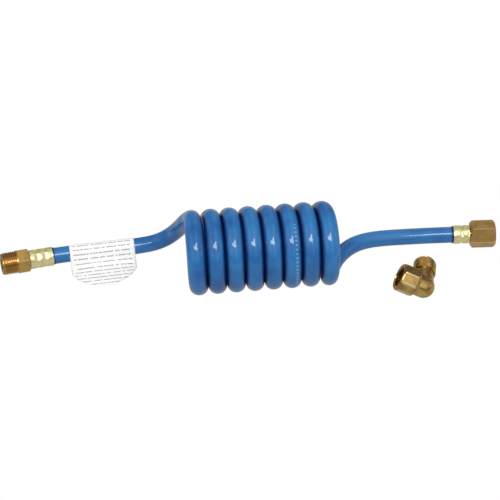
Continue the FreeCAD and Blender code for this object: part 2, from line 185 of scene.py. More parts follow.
class FinishColours(bpy.types.PropertyGroup):
    """Colours of each finish."""
    hose: FloatVectorProperty(name="Hose", description="Colour of the hose",
                              default=(0.020, 0.165, 0.43, 1.0), **COLOUR)
    hose_deep: FloatVectorProperty(name="Hose, deep", description="Colour of the hose's darker stretches",
                                   default=(0.008, 0.09, 0.31, 1.0), **COLOUR)
    # painted shade where the turns face each other and next to the ferrules' mouths
    hose_gap_shade: FloatVectorProperty(name="Hose, between turns",
                                  description="Colour of the hose where turns face each other",
                                  default=(0.002, 0.018, 0.12, 1.0), **COLOUR)
    ferrule: FloatVectorProperty(name="Ferrules", description="Colour of the crimped ferrules",
                                 default=(1.0, 0.90, 0.46, 1.0), **COLOUR)
    fitting: FloatVectorProperty(name="Fittings", description="Colour of the turned fittings",
                                 default=(0.80, 0.50, 0.16, 1.0), **COLOUR)
    elbow: FloatVectorProperty(name="Elbow", description="Colour of the forged elbow",
                               default=(0.80, 0.55, 0.19, 1.0), **COLOUR)
    film: FloatVectorProperty(name="Label film", description="Colour of the label's film",
                              default=(0.95, 0.95, 0.94, 1.0), **COLOUR)


class StageLook(bpy.types.PropertyGroup):
    """Camera and studio."""
    lens: FloatProperty(name="Lens", description="Focal length in millimetres",
                        default=74.13, min=20.0, max=200.0)
    elevation: FloatProperty(name="Elevation", description="How far above the horizon the camera stands",
                             default=math.radians(40.0), unit="ROTATION", subtype="ANGLE")
    turn: FloatProperty(name="Turn", description="How far the camera is turned about the vertical",
                        default=math.radians(6.61), unit="ROTATION", subtype="ANGLE")
    distance: FloatProperty(name="Distance", description="From the camera to what it looks at",
                            default=0.7645, **LENGTH)
    brightness: FloatProperty(name="Brightness", description="Strength of the studio's surroundings",
                              default=1.0, min=0.0, max=5.0)


# ---------------------------------------------------------------- helpers
def place_mesh(bm, name, place=None):
    """Turns a bmesh into an object whose place is in its mesh."""
    if place is not None:
        bmesh.ops.transform(bm, matrix=place, verts=bm.verts)
    mesh = bpy.data.meshes.new(name)
    bm.to_mesh(mesh)
    bm.free()
    piece = bpy.data.objects.new(name, mesh)
    bpy.context.scene.collection.objects.link(piece)
    return piece


def finish_piece(piece, material, body, nodes=(), sharp_angle=30.0, rounding=0.0):
    """Gives a piece its shading, edges, finish and body, and hides the frame's nodes it stands for."""
    mesh = piece.data
    mesh.shade_smooth()
    mesh.set_sharp_from_angle(angle=math.radians(sharp_angle))
    mesh.materials.clear()
    mesh.materials.append(material)
    if rounding > 0:
        bevel = piece.modifiers.new("rounded_edges", "BEVEL")
        bevel.width = rounding
        bevel.segments = 2
        bevel.limit_method = "ANGLE"
        bevel.angle_limit = math.radians(sharp_angle)
    if body is not None:
        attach(piece, body)
    if nodes:
        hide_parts(*nodes)
    return piece


def facing(side, ahead):
    """The turn that takes local X to side and local Z to ahead."""
    return Matrix((side, ahead.cross(side), ahead)).transposed().to_4x4()


def fitting_place(mount_name, offset, roll):
    """Local +Z along the mount's axis, local X level, in millimetres from the fitting's own origin."""
    mount = MOUNTS[mount_name]
    out = Vector(mount["axis"]).normalized()
    side = Vector((0, 0, 1)).cross(out).normalized()
    turned = facing(side, out) @ Matrix.Rotation(roll, 4, "Z")
    origin = Vector(mount["pos_m"]) - out * offset * MM
    return Matrix.Translation(origin) @ turned @ Matrix.Scale(MM, 4)


def new_verts_and_edges(geometry):
    verts = [item for item in geometry if isinstance(item, bmesh.types.BMVert)]
    chosen = set(verts)
    edges = [item for item in geometry if isinstance(item, bmesh.types.BMEdge)
             and item.verts[0] in chosen and item.verts[1] in chosen]
    return verts, edges


def loop_edges(verts):
    """The loop's edges, each once and in the same order each run."""
    return list(dict.fromkeys(edge for vert in verts for edge in vert.link_edges))


def shape_ring(verts, ring):
    """Moves a loop of points to the radius and height that the ring gives for each direction."""
    for vert in verts:
        angle = math.atan2(vert.co.y, vert.co.x)
        radius, height = ring(angle)
        vert.co = Vector((radius * math.cos(angle), radius * math.sin(angle), height))


def loft(bm, rings, sides, hollow):
    """Extrudes a loop through the rings. A hollow piece's last ring joins its first."""
    made = bmesh.ops.create_circle(bm, cap_ends=False, segments=sides, radius=1.0)
    verts = made["verts"]
    edges = loop_edges(verts)
    shape_ring(verts, rings[0])
    first = edges
    faces = []
    for ring in rings[1:]:
        made = bmesh.ops.extrude_edge_only(bm, edges=edges)
        verts, edges = new_verts_and_edges(made["geom"])
        shape_ring(verts, ring)
        faces += [item for item in made["geom"] if isinstance(item, bmesh.types.BMFace)]
    if hollow:
        faces += bmesh.ops.bridge_loops(bm, edges=first + edges)["faces"]
    else:
        faces += bmesh.ops.holes_fill(bm, edges=first, sides=0)["faces"]
        faces += bmesh.ops.holes_fill(bm, edges=edges, sides=0)["faces"]
    bmesh.ops.recalc_face_normals(bm, faces=faces)


def round_ring(radius, height):
    return lambda angle: (radius, height)


def flats_ring(across, flats, height, turned_radius=None, slope=0.0):
    """Wrench flats, with a corner along local X.

    With a turned radius, the ring lies where a turned cone meets the flats.
    """
    sector = 2 * math.pi / flats

    def ring(angle):
        from_middle = angle % sector - sector / 2
        radius = across / 2 / math.cos(from_middle)
        if turned_radius is None:
            return radius, height
        return radius, height + (radius - turned_radius) * slope
    return ring


def turned_flats(across, flats, start, end, face_radius, chamfer, back, front):
    """The rings of a wrench body from its back face to its front face."""
    corner = across / 2 / math.cos(math.pi / flats)
    slope = chamfer / (corner - face_radius)
    rings = []
    if back:
        rings.append(round_ring(face_radius, start))
        rings.append(flats_ring(across, flats, start, face_radius, slope))
    else:
        rings.append(flats_ring(across, flats, start))
    if front:
        rings.append(flats_ring(across, flats, end, face_radius, -slope))
        rings.append(round_ring(face_radius, end))
    else:
        rings.append(flats_ring(across, flats, end))
    return rings


def add_mesh(bm, made):
    """Adds what one bmesh holds to another, and frees it."""
    mesh = bpy.data.meshes.new("added")
    made.to_mesh(mesh)
    made.free()
    bm.from_mesh(mesh)
    bpy.data.meshes.remove(mesh)


def thread_ring(bm, crest, root, hidden, pitch, start, end, lead=None):
    """A helical ridge from start to end, closed by a hidden wall behind its roots.

    lead is the radius and the length of the cone that trims the ridge at its end.
    """
    fresh = bmesh.new()
    profile = [(root, 0.0), (root, 0.10), (crest, 0.42), (crest, 0.58), (root, 0.90), (root, 1.0)]
    verts = [fresh.verts.new((radius, 0.0, start + (share - 1.5) * pitch)) for radius, share in profile]
    edges = [fresh.edges.new(pair) for pair in zip(verts, verts[1:])]
    steps = 48
    turns = int((end - start) / pitch) + 4
    bmesh.ops.spin(fresh, geom=verts + edges, cent=(0, 0, 0), axis=(0, 0, 1), dvec=(0, 0, pitch / steps),
                   angle=2 * math.pi * turns, steps=steps * turns, use_merge=False, use_duplicate=False)
    bmesh.ops.remove_doubles(fresh, verts=fresh.verts, dist=0.002)
    for height, clear_above in ((start, False), (end, True)):
        everything = fresh.verts[:] + fresh.edges[:] + fresh.faces[:]
        bmesh.ops.bisect_plane(fresh, geom=everything, plane_co=(0, 0, height), plane_no=(0, 0, 1),
                               clear_outer=clear_above, clear_inner=not clear_above)
    if lead is not None:
        lead_radius, lead_length = lead
        for vert in fresh.verts:
            limit = lead_radius + (end - vert.co.z) * (crest - lead_radius) / lead_length
            radius = vert.co.xy.length
            if radius > limit:
                vert.co.xy *= limit / radius
    walls = []
    for height in (start, end):
        rim = [edge for edge in fresh.edges if edge.is_boundary
               and all(abs(vert.co.z - height) < 0.01 for vert in edge.verts)]
        made = bmesh.ops.extrude_edge_only(fresh, edges=rim)
        rim_verts, rim_edges = new_verts_and_edges(made["geom"])
        for vert in rim_verts:
            vert.co.xy *= hidden / vert.co.xy.length
        walls += rim_edges
    bmesh.ops.bridge_loops(fresh, edges=walls)
    bmesh.ops.recalc_face_normals(fresh, faces=fresh.faces)
    add_mesh(bm, fresh)


def store_local(bm, recess_shade=None, corner=None):
    """Keeps each point's place on its piece, the painted shade where it lies in a groove or bore, and the
    painted highlight near a corner.
    """
    local = bm.verts.layers.float_vector.new("local_mm")
    deep = bm.verts.layers.float.new("recess_shade")
    edge_highlight = bm.verts.layers.float.new("edge_highlight")
    for vert in bm.verts:
        vert[local] = vert.co
        vert[deep] = recess_shade(vert.co) if recess_shade else 0.0
        vert[edge_highlight] = 1.0 if corner and vert.co.xy.length > corner else 0.0


# ---------------------------------------------------------------- finishes
# a Mix node's sockets when it mixes colours
MIX_SHARE, MIX_FIRST, MIX_SECOND, MIX_RESULT = 0, 6, 7, 2


def feed(links, socket, value):
    """Links a socket to another one, or sets it to a plain value."""
    if isinstance(value, bpy.types.NodeSocket):
        links.new(value, socket)
    else:
        socket.default_value = value


def math_maker(nodes, links):
    """Gives a function that adds a Math node. Each value is a number or a socket."""
    def math_node(operation, *values):
        node = nodes.new("ShaderNodeMath")
        node.operation = operation
        for socket, value in zip(node.inputs, values):
            feed(links, socket, value)
        return node.outputs["Value"]
    return math_node


def carried(nodes, name):
    """Reads what each point of the piece carries under this name."""
    node = nodes.new("ShaderNodeAttribute")
    node.attribute_name = name
    return node


def noise(nodes, links, vector, scale, detail):
    node = nodes.new("ShaderNodeTexNoise")
    links.new(vector, node.inputs["Vector"])
    feed(links, node.inputs["Scale"], scale)
    node.inputs["Detail"].default_value = detail
    return node


def ranged(nodes, links, value, low, high, to_low=0.0, to_high=1.0):
    node = nodes.new("ShaderNodeMapRange")
    links.new(value, node.inputs["Value"])
    for name, limit in (("From Min", low), ("From Max", high), ("To Min", to_low), ("To Max", to_high)):
        feed(links, node.inputs[name], limit)
    return node.outputs["Result"]


def colour_mix(nodes, links, share, first, second):
    node = nodes.new("ShaderNodeMix")
    node.data_type = "RGBA"
    links.new(share, node.inputs[MIX_SHARE])
    feed(links, node.inputs[MIX_FIRST], first)
    feed(links, node.inputs[MIX_SECOND], second)
    return node.outputs[MIX_RESULT]


def raise_surface(nodes, links, shader, height, strength, distance):
    bump = nodes.new("ShaderNodeBump")
    bump.inputs["Strength"].default_value = strength
    bump.inputs["Distance"].default_value = distance
    links.new(height, bump.inputs["Height"])
    links.new(bump.outputs["Normal"], shader.inputs["Normal"])


def worked_brass_group():
    """Turning marks, fine scratches, handling stains, painted shade in grooves and bores and a painted
    highlight along corners, shared by every brass finish.
    """
    group = bpy.data.node_groups.new("worked_brass", "ShaderNodeTree")
    for name, kind, default in (
            ("Clean", "NodeSocketColor", (0.8, 0.6, 0.3, 1.0)),
            ("Tarnish and shade", "NodeSocketColor", (0.4, 0.25, 0.1, 1.0)),
            ("Edge highlight", "NodeSocketColor", (1.0, 0.80, 0.42, 1.0)),
            ("Stain scale", "NodeSocketFloat", 120.0), ("Stain amount", "NodeSocketFloat", 0.5),
            ("Mark scale", "NodeSocketFloat", 9.0), ("Smooth", "NodeSocketFloat", 0.2),
            ("Rough", "NodeSocketFloat", 0.4)):
        group.interface.new_socket(name=name, in_out="INPUT", socket_type=kind).default_value = default
    for name, kind in (("Color", "NodeSocketColor"), ("Roughness", "NodeSocketFloat"),
                       ("Height", "NodeSocketFloat")):
        group.interface.new_socket(name=name, in_out="OUTPUT", socket_type=kind)
    nodes, links = group.nodes, group.links
    math_node = math_maker(nodes, links)
    given = nodes.new("NodeGroupInput").outputs
    outputs = nodes.new("NodeGroupOutput")
    place = nodes.new("ShaderNodeTexCoord").outputs["Object"]

    stains = noise(nodes, links, place, given["Stain scale"], 5.0)
    stains.inputs["Roughness"].default_value = 0.62
    stained = ranged(nodes, links, stains.outputs["Fac"], 0.40, 0.62)
    stain = math_node("MULTIPLY", stained, given["Stain amount"])
    # real stains joined with painted shade in grooves and bores
    dark = math_node("MAXIMUM", stain, carried(nodes, "recess_shade").outputs["Fac"])
    stained_and_shaded = colour_mix(nodes, links, dark, given["Clean"], given["Tarnish and shade"])
    # a lighter colour painted along the corners as a highlight
    edge_lit = colour_mix(nodes, links, carried(nodes, "edge_highlight").outputs["Fac"], stained_and_shaded, given["Edge highlight"])
    links.new(edge_lit, outputs.inputs["Color"])

    parts = nodes.new("ShaderNodeSeparateXYZ")
    links.new(carried(nodes, "local_mm").outputs["Vector"], parts.inputs[0])
    around = nodes.new("ShaderNodeCombineXYZ")
    links.new(parts.outputs["Z"], around.inputs["Z"])
    marks = noise(nodes, links, around.outputs[0], given["Mark scale"], 3.0)
    scratches = noise(nodes, links, place, 900.0, 4.0)
    links.new(math_node("ADD", marks.outputs["Fac"], scratches.outputs["Fac"]), outputs.inputs["Height"])
    roughness = ranged(nodes, links, dark, 0.0, 1.0, given["Smooth"], given["Rough"])
    links.new(roughness, outputs.inputs["Roughness"])
    return group


def blank_material(name):
    material = bpy.data.materials.new(name)
    material.use_nodes = True
    nodes = material.node_tree.nodes
    nodes.clear()
    output = nodes.new("ShaderNodeOutputMaterial")
    shader = nodes.new("ShaderNodeBsdfPrincipled")
    material.node_tree.links.new(shader.outputs["BSDF"], output.inputs["Surface"])
    return material, nodes, material.node_tree.links, shader


def brass_material(name, clean, tarnish_and_shade, stain_scale, stain_amount, mark_scale, smoothest, roughest, relief,
                   metallic=1.0):
    """Worked brass with its own colours, stains and depth of tool marks."""
    if name in bpy.data.materials:
        return bpy.data.materials[name]
    material, nodes, links, shader = blank_material(name)
    worked = nodes.new("ShaderNodeGroup")
    worked.node_tree = bpy.data.node_groups.get("worked_brass") or worked_brass_group()
    # the tarnish colour also paints the shade in grooves and bores
    for socket, value in (("Clean", clean), ("Tarnish and shade", tarnish_and_shade), ("Stain scale", stain_scale),
                          ("Stain amount", stain_amount), ("Mark scale", mark_scale), ("Smooth", smoothest),
                          ("Rough", roughest)):
        worked.inputs[socket].default_value = value
    links.new(worked.outputs["Color"], shader.inputs["Base Color"])
    links.new(worked.outputs["Roughness"], shader.inputs["Roughness"])
    raise_surface(nodes, links, shader, worked.outputs["Height"], relief, 0.00012)
    shader.inputs["Metallic"].default_value = metallic
    return material


def ferrule_brass():
    return brass_material("crimped_brass", bpy.context.scene.finish_colours.ferrule, (0.78, 0.62, 0.22, 1.0),
                          stain_scale=260.0, stain_amount=0.4, mark_scale=5.0, smoothest=0.24, roughest=0.36,
                          relief=0.25, metallic=0.72)


def fitting_brass():
    return brass_material("turned_brass", bpy.context.scene.finish_colours.fitting, (0.34, 0.17, 0.05, 1.0),
                          stain_scale=150.0, stain_amount=0.45, mark_scale=9.0, smoothest=0.18, roughest=0.36,
                          relief=0.3)


def elbow_brass():
    return brass_material("forged_brass", bpy.context.scene.finish_colours.elbow, (0.34, 0.15, 0.05, 1.0),
                          stain_scale=140.0, stain_amount=0.75, mark_scale=6.0, smoothest=0.14, roughest=0.34,
                          relief=0.22)


def hose_material():
    """Glossy blue with deeper clouds, painted shade where turns meet and next to the ferrules' mouths, and a
    faint row of evenly spaced ticks.
    """
    colours = bpy.context.scene.finish_colours
    material, nodes, links, shader = blank_material("blue_hose")
    math_node = math_maker(nodes, links)
    place = nodes.new("ShaderNodeTexCoord").outputs["Object"]
    cloud = ranged(nodes, links, noise(nodes, links, place, 45.0, 2.0).outputs["Fac"], 0.45, 0.75)
    clouded = colour_mix(nodes, links, cloud, colours.hose, colours.hose_deep)
    # painted shade between turns and next to each ferrule's mouth
    gap_and_mouth_shade = math_node("MAXIMUM", carried(nodes, "painted_gap_shade").outputs["Fac"],
                        carried(nodes, "rim").outputs["Fac"])
    shaded = colour_mix(nodes, links, gap_and_mouth_shade, clouded, colours.hose_gap_shade)

    parts = nodes.new("ShaderNodeSeparateXYZ")
    links.new(carried(nodes, "on_hose").outputs["Vector"], parts.inputs[0])
    turn, across, outward = (parts.outputs[axis] for axis in "XYZ")
    ticks_per_turn, row_middle, half_row, marked_turn, half_stretch = 62.0, 2.6, 0.9, 5.05, 0.24
    tick = math_node("LESS_THAN", math_node("FRACT", math_node("MULTIPLY", turn, ticks_per_turn)), 0.5)
    row = math_node("LESS_THAN", math_node("ABSOLUTE", math_node("SUBTRACT", across, row_middle)), half_row)
    outside = math_node("GREATER_THAN", outward, 1.0)
    from_middle = math_node("ABSOLUTE", math_node("SUBTRACT", turn, marked_turn))
    stretch = math_node("LESS_THAN", from_middle, half_stretch)
    ticks = math_node("MULTIPLY", math_node("MULTIPLY", tick, row), math_node("MULTIPLY", outside, stretch))
    marked = colour_mix(nodes, links, math_node("MULTIPLY", ticks, 0.4), shaded, (0.30, 0.50, 0.68, 1.0))
    links.new(marked, shader.inputs["Base Color"])
    shader.inputs["Roughness"].default_value = 0.14
    shader.inputs["IOR"].default_value = 1.5
    shader.inputs["Coat Weight"].default_value = 0.3
    shader.inputs["Coat Roughness"].default_value = 0.05
    raise_surface(nodes, links, shader, noise(nodes, links, place, 160.0, 2.0).outputs["Fac"], 0.06, 0.0004)
    return material


def label_material():
    """White film with rows of plain grey bars."""
    colours = bpy.context.scene.finish_colours
    material, nodes, links, shader = blank_material("printed_film")
    math_node = math_maker(nodes, links)
    parts = nodes.new("ShaderNodeSeparateXYZ")
    links.new(carried(nodes, "on_film_mm").outputs["Vector"], parts.inputs[0])
    along, down, half_row = (parts.outputs[axis] for axis in "XYZ")
    row_spacing, half_bar = 3.7, 0.14
    row = math_node("DIVIDE", down, row_spacing)
    in_row = math_node("ABSOLUTE", math_node("SUBTRACT", math_node("FRACT", row), 0.5))
    on_row = math_node("LESS_THAN", in_row, half_bar)
    where = nodes.new("ShaderNodeCombineXYZ")
    links.new(along, where.inputs["X"])
    links.new(math_node("MULTIPLY", math_node("FLOOR", row), 7.31), where.inputs["Y"])
    bars = noise(nodes, links, where.outputs[0], 0.62, 0.0)
    bars.noise_dimensions = "2D"
    on_bar = math_node("GREATER_THAN", bars.outputs["Fac"], 0.36)
    inside = math_node("LESS_THAN", math_node("ABSOLUTE", along), half_row)
    printed = math_node("MULTIPLY", math_node("MULTIPLY", on_row, on_bar), inside)
    inked = colour_mix(nodes, links, math_node("MULTIPLY", printed, 0.62), colours.film,
                       (0.16, 0.16, 0.17, 1.0))
    links.new(inked, shader.inputs["Base Color"])
    shader.inputs["Roughness"].default_value = 0.35
    place = nodes.new("ShaderNodeTexCoord").outputs["Object"]
    raise_surface(nodes, links, shader, noise(nodes, links, place, 140.0, 2.0).outputs["Fac"], 0.2, 0.0003)
    return material


# ---------------------------------------------------------------- hose
def end_line(mount_name, offset):
    """The hose's cut end and the end of its straight exit, from the fitting that the mount belongs to."""
    mount = MOUNTS[mount_name]
    out = Vector(mount["axis"]).normalized()
    shoulder = Vector(mount["pos_m"]) - out * offset * MM
    return shoulder - out * HOSE_IN_FERRULE, shoulder - out * (HOSE_IN_FERRULE + STRAIGHT_EXIT)


def coil_points(sizes):
    """The turns' control points, right-handed along +X, each turn leaning a little."""
    control = sizes.coil_radius / ((3 + math.cos(2 * math.pi / POINTS_PER_TURN)) / 4)
    points = []
    for step in range(FIRST_POINT, LAST_POINT + 1):
        turn = step / POINTS_PER_TURN
        back = -control * math.cos(2 * math.pi * turn)
        up = -control * math.sin(2 * math.pi * turn)
        along = (turn - (TURNS - 1) / 2) * sizes.pitch + sizes.lean_back * back + sizes.lean_up * up
        points.append(COIL_MIDDLE + Vector((along, back, up)))
    return points


def smooth_line(points):
    """Points along a smooth spline that has the route's points as its control points."""
    curve = bpy.data.curves.new("hose_route", "CURVE")
    curve.dimensions = "3D"
    spline = curve.splines.new("NURBS")
    spline.points.add(len(points) - 1)
    for control, point in zip(spline.points, points):
        control.co = (*point, 1.0)
    spline.order_u = 3
    spline.use_endpoint_u = True
    spline.resolution_u = 8
    curve.resolution_u = 8
    route = bpy.data.objects.new("hose_route", curve)
    bpy.context.scene.collection.objects.link(route)
    bpy.context.view_layer.update()
    mesh = bpy.data.meshes.new_from_object(route)
    line = [vert.co.copy() for vert in mesh.vertices]
    bpy.data.meshes.remove(mesh)
    bpy.data.objects.remove(route)
    bpy.data.curves.remove(curve)
    return line


def ring_frames(line):
    """One frame on each point of the line, carried along it without twist."""
    frames = []
    side = None
    for index, point in enumerate(line):
        ahead = line[min(index + 1, len(line) - 1)] - line[max(index - 1, 0)]
        ahead.normalize()
        if side is None:
            side = ahead.orthogonal().normalized()
        side = (side - ahead * side.dot(ahead)).normalized()
        frames.append(Matrix.Translation(point) @ facing(side, ahead))
    return frames


def soft_step(share):
    """0 to 1, level at both ends."""
    share = min(max(share, 0.0), 1.0)
    return share * share * (3 - 2 * share)


def eased(share):
    """0 to 1 with an even opening, eased in and out at the two ends."""
    share = min(max(share, 0.0), 1.0)
    if share < STRETCH_EASE:
        return share * share / (2 * STRETCH_EASE * (1 - STRETCH_EASE))
    if share > 1 - STRETCH_EASE:
        return 1 - (1 - share) ** 2 / (2 * STRETCH_EASE * (1 - STRETCH_EASE))
    return (share - STRETCH_EASE / 2) / (1 - STRETCH_EASE)


def blend_by_ring(piece, shares, sides):
    """Each ring follows its own share of the stretch, so the hose keeps its round section.

    bake_transform() reads the share from where a point lies between two places, so the points stand
    there while it reads.
    """
    mesh = piece.data
    kept = [0.0] * (3 * len(mesh.vertices))
    mesh.vertices.foreach_get("co", kept)
    for index, vert in enumerate(mesh.vertices):
        share = shares[min(index // sides, len(shares) - 1)]
        vert.co = (0.5 - math.sin(math.asin(1 - 2 * share) / 3), 0.0, 0.0)
    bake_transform(piece, "inlet_end", "outlet_end", start=(0, 0, 0), end=(1, 0, 0))
    mesh.vertices.foreach_set("co", kept)
    mesh.update()


def hose_swelling(name, cut, straight, mouth, sizes, material, body):
    """The hose's skin, swollen where the ferrule's mouth squeezes it, with painted shade next to the mouth.
    """
    ahead = (straight - cut).normalized()
    side = ahead.orthogonal().normalized()
    place = Matrix.Translation(cut + ahead * mouth) @ facing(side, ahead) @ Matrix.Scale(MM, 4)
    skin = sizes.diameter / 2 / MM
    swell = skin + sizes.flare / MM
    bm = bmesh.new()
    loft(bm, [round_ring(skin - 0.3, -0.4), round_ring(swell - 0.2, -0.2), round_ring(swell, 0.3),
              round_ring(swell, 0.9), round_ring(swell - 0.25, 1.5), round_ring(skin, 2.1),
              round_ring(skin - 0.3, 2.1)], 48, True)
    # painted shade next to the ferrule's mouth
    rim = bm.verts.layers.float.new("rim")
    for vert in bm.verts:
        vert[rim] = soft_step((2.1 - vert.co.z) / 0.9)
    piece = place_mesh(bm, f"{name}_hose_swelling", place)
    return finish_piece(piece, material, body, sharp_angle=60.0)


class AIRHOSE_OT_hose(bpy.types.Operator):
    """Lay the hose along its route, through its turns, from one ferrule to the other"""
    bl_idname = "airhose.hose"
    bl_label = "Hose"

    def execute(self, context):
        sizes = context.scene.hose_sizes
        inlet_cut, inlet_exit = end_line("inlet_thread", INLET_MOUNT_OFFSET)
        outlet_cut, outlet_exit = end_line("outlet_thread", OUTLET_MOUNT_OFFSET)
        before = [inlet_cut, inlet_exit] + [Vector(point) for point in INLET_ROUTE]
        turns = coil_points(sizes)
        after = [Vector(point) for point in OUTLET_ROUTE] + [outlet_exit, outlet_cut]
        line = smooth_line(before + turns + after)
        frames = ring_frames(line)

        bm = bmesh.new()
        made = bmesh.ops.create_circle(bm, cap_ends=False, segments=sizes.sides, radius=sizes.diameter / 2,
                                       matrix=frames[0])
        verts = made["verts"]
        edges = loop_edges(verts)
        first = edges
        for previous, current in zip(frames, frames[1:]):
            made = bmesh.ops.extrude_edge_only(bm, edges=edges)
            verts, edges = new_verts_and_edges(made["geom"])
            bmesh.ops.transform(bm, matrix=current @ previous.inverted(), verts=verts)
        distances = [0.0]
        for previous, current in zip(line, line[1:]):
            distances.append(distances[-1] + (current - previous).length)
        coil_start = min(range(len(line)), key=lambda index: (line[index] - turns[0]).length)
        coil_end = min(range(len(line)), key=lambda index: (line[index] - turns[-1]).length)
        start, end = distances[coil_start], distances[coil_end]
        turn_length = (end - start) * POINTS_PER_TURN / (LAST_POINT - FIRST_POINT)
        # painted shade on each turn's flanks where it faces its neighbour turn
        between = bm.verts.layers.float.new("painted_gap_shade")
        along = bm.verts.layers.float_vector.new("on_hose")
        bm.verts.ensure_lookup_table()
        for index, vert in enumerate(bm.verts):
            ring = min(index // sizes.sides, len(line) - 1)
            offset = vert.co - line[ring]
            distance = distances[ring]
            in_coil = (soft_step((distance - start) / turn_length * SETTING)
                       * soft_step((end - distance) / turn_length * SETTING))
            faces_across = offset.x / offset.length
            offset = Vector((offset.x * (1 + sizes.flattening * in_coil), offset.y, offset.z))
            offset *= 1 - SET_SHRINK * in_coil
            to_end = end - distance if faces_across > 0 else distance - start
            neighbour = soft_step((to_end - turn_length * NEIGHBOUR_FROM) / turn_length * NEIGHBOUR_RISE)
            vert[between] = neighbour * soft_step((abs(faces_across) - 0.5) / 0.45)
            outward = Vector((0.0, line[ring].y - COIL_MIDDLE.y, line[ring].z - COIL_MIDDLE.z)).normalized()
            turn = (distance - start) / turn_length + FIRST_POINT / POINTS_PER_TURN
            vert[along] = Vector((turn, offset.x / MM, offset.dot(outward) / MM))
            vert.co = line[ring] + offset
        bmesh.ops.holes_fill(bm, edges=first, sides=0)
        bmesh.ops.holes_fill(bm, edges=edges, sides=0)
        bmesh.ops.recalc_face_normals(bm, faces=bm.faces)
        hose = place_mesh(bm, "air_hose")
        finish_piece(hose, hose_material(), None,
                     ("hose_inlet_tail", "hose_coil", "hose_outlet_tail"), sharp_angle=60.0)

        shade = hose.data.materials[0]
        inlet_mouth, outlet_mouth = 0.0168, 0.0112
        swellings = [
            hose_swelling("inlet", inlet_cut, inlet_exit, inlet_mouth, sizes, shade, "inlet_end"),
            hose_swelling("outlet", outlet_cut, outlet_exit, outlet_mouth, sizes, shade, "outlet_end"),
        ]
        shares = [eased((distance - start) / (end - start)) for distance in distances]
        blend_by_ring(hose, shares, sizes.sides)
        return {"FINISHED"}


# ---------------------------------------------------------------- stage
def soft_light(name, centre, target, width, height, power):
    light = bpy.data.lights.new(name, "AREA")
    light.shape = "RECTANGLE"
    light.size = width
    light.size_y = height
    light.energy = power
    lamp = bpy.data.objects.new(name, light)
    lamp.location = centre
    lamp.rotation_euler = (Vector(target) - Vector(centre)).to_track_quat("-Z", "Y").to_euler()
    bpy.context.scene.collection.objects.link(lamp)


def studio_surroundings(strength):
    """Even light all round. Glossy surfaces see a bright front, a dim back and soft darker bands."""
    world = bpy.data.worlds.new("studio")
    bpy.context.scene.world = world
    world.use_nodes = True
    nodes, links = world.node_tree.nodes, world.node_tree.links
    nodes.clear()
    output = nodes.new("ShaderNodeOutputWorld")
    background = nodes.new("ShaderNodeBackground")
    place = nodes.new("ShaderNodeTexCoord")
    parts = nodes.new("ShaderNodeSeparateXYZ")
    links.new(place.outputs["Generated"], parts.inputs[0])

    math_node = math_maker(nodes, links)
    height = math_node("ARCTAN2", parts.outputs["Z"], math_node("MULTIPLY", parts.outputs["Y"], -1.0))
    ramp = nodes.new("ShaderNodeValToRGB")
    links.new(math_node("DIVIDE", height, math.pi), ramp.inputs["Fac"])
    ramp.color_ramp.elements[0].position = 0.0
    ramp.color_ramp.elements[0].color = (0.10, 0.10, 0.10, 1)
    ramp.color_ramp.elements[1].position = 1.0
    ramp.color_ramp.elements[1].color = (0.25, 0.25, 0.25, 1)
    for position, level in ((0.08, 0.42), (0.18, 0.85), (0.40, 1.0), (0.54, 0.85), (0.61, 0.32),
                            (0.76, 0.48)):
        element = ramp.color_ramp.elements.new(position)
        element.color = (level, level, level, 1)
    bands = math_node("SINE", math_node("MULTIPLY", parts.outputs["X"], 7.0))
    banding = math_node("ADD", math_node("MULTIPLY", bands, 0.35), 0.8)
    level = math_node("MULTIPLY", ramp.outputs["Color"], banding)
    rays = nodes.new("ShaderNodeLightPath")
    mix = nodes.new("ShaderNodeMix")
    links.new(rays.outputs["Is Glossy Ray"], mix.inputs[0])
    mix.inputs[2].default_value = strength
    links.new(level, mix.inputs[3])
    links.new(mix.outputs[0], background.inputs["Strength"])
    links.new(background.outputs["Background"], output.inputs["Surface"])


def pale_floor():
    """White to the camera, and dimmer in reflections."""
    material = bpy.data.materials.new("pale_floor")
    material.use_nodes = True
    nodes, links = material.node_tree.nodes, material.node_tree.links
    nodes.clear()
    output = nodes.new("ShaderNodeOutputMaterial")
    glow = nodes.new("ShaderNodeEmission")
    rays = nodes.new("ShaderNodeLightPath")
    seen = nodes.new("ShaderNodeMix")
    seen.inputs[2].default_value = 0.55
    seen.inputs[3].default_value = 1.0
    links.new(rays.outputs["Is Camera Ray"], seen.inputs[0])
    mirrored = nodes.new("ShaderNodeMix")
    mirrored.inputs[3].default_value = 0.42
    links.new(rays.outputs["Is Glossy Ray"], mirrored.inputs[0])
    links.new(seen.outputs[0], mirrored.inputs[2])
    links.new(mirrored.outputs[0], glow.inputs["Strength"])
    links.new(glow.outputs["Emission"], output.inputs["Surface"])
    return material


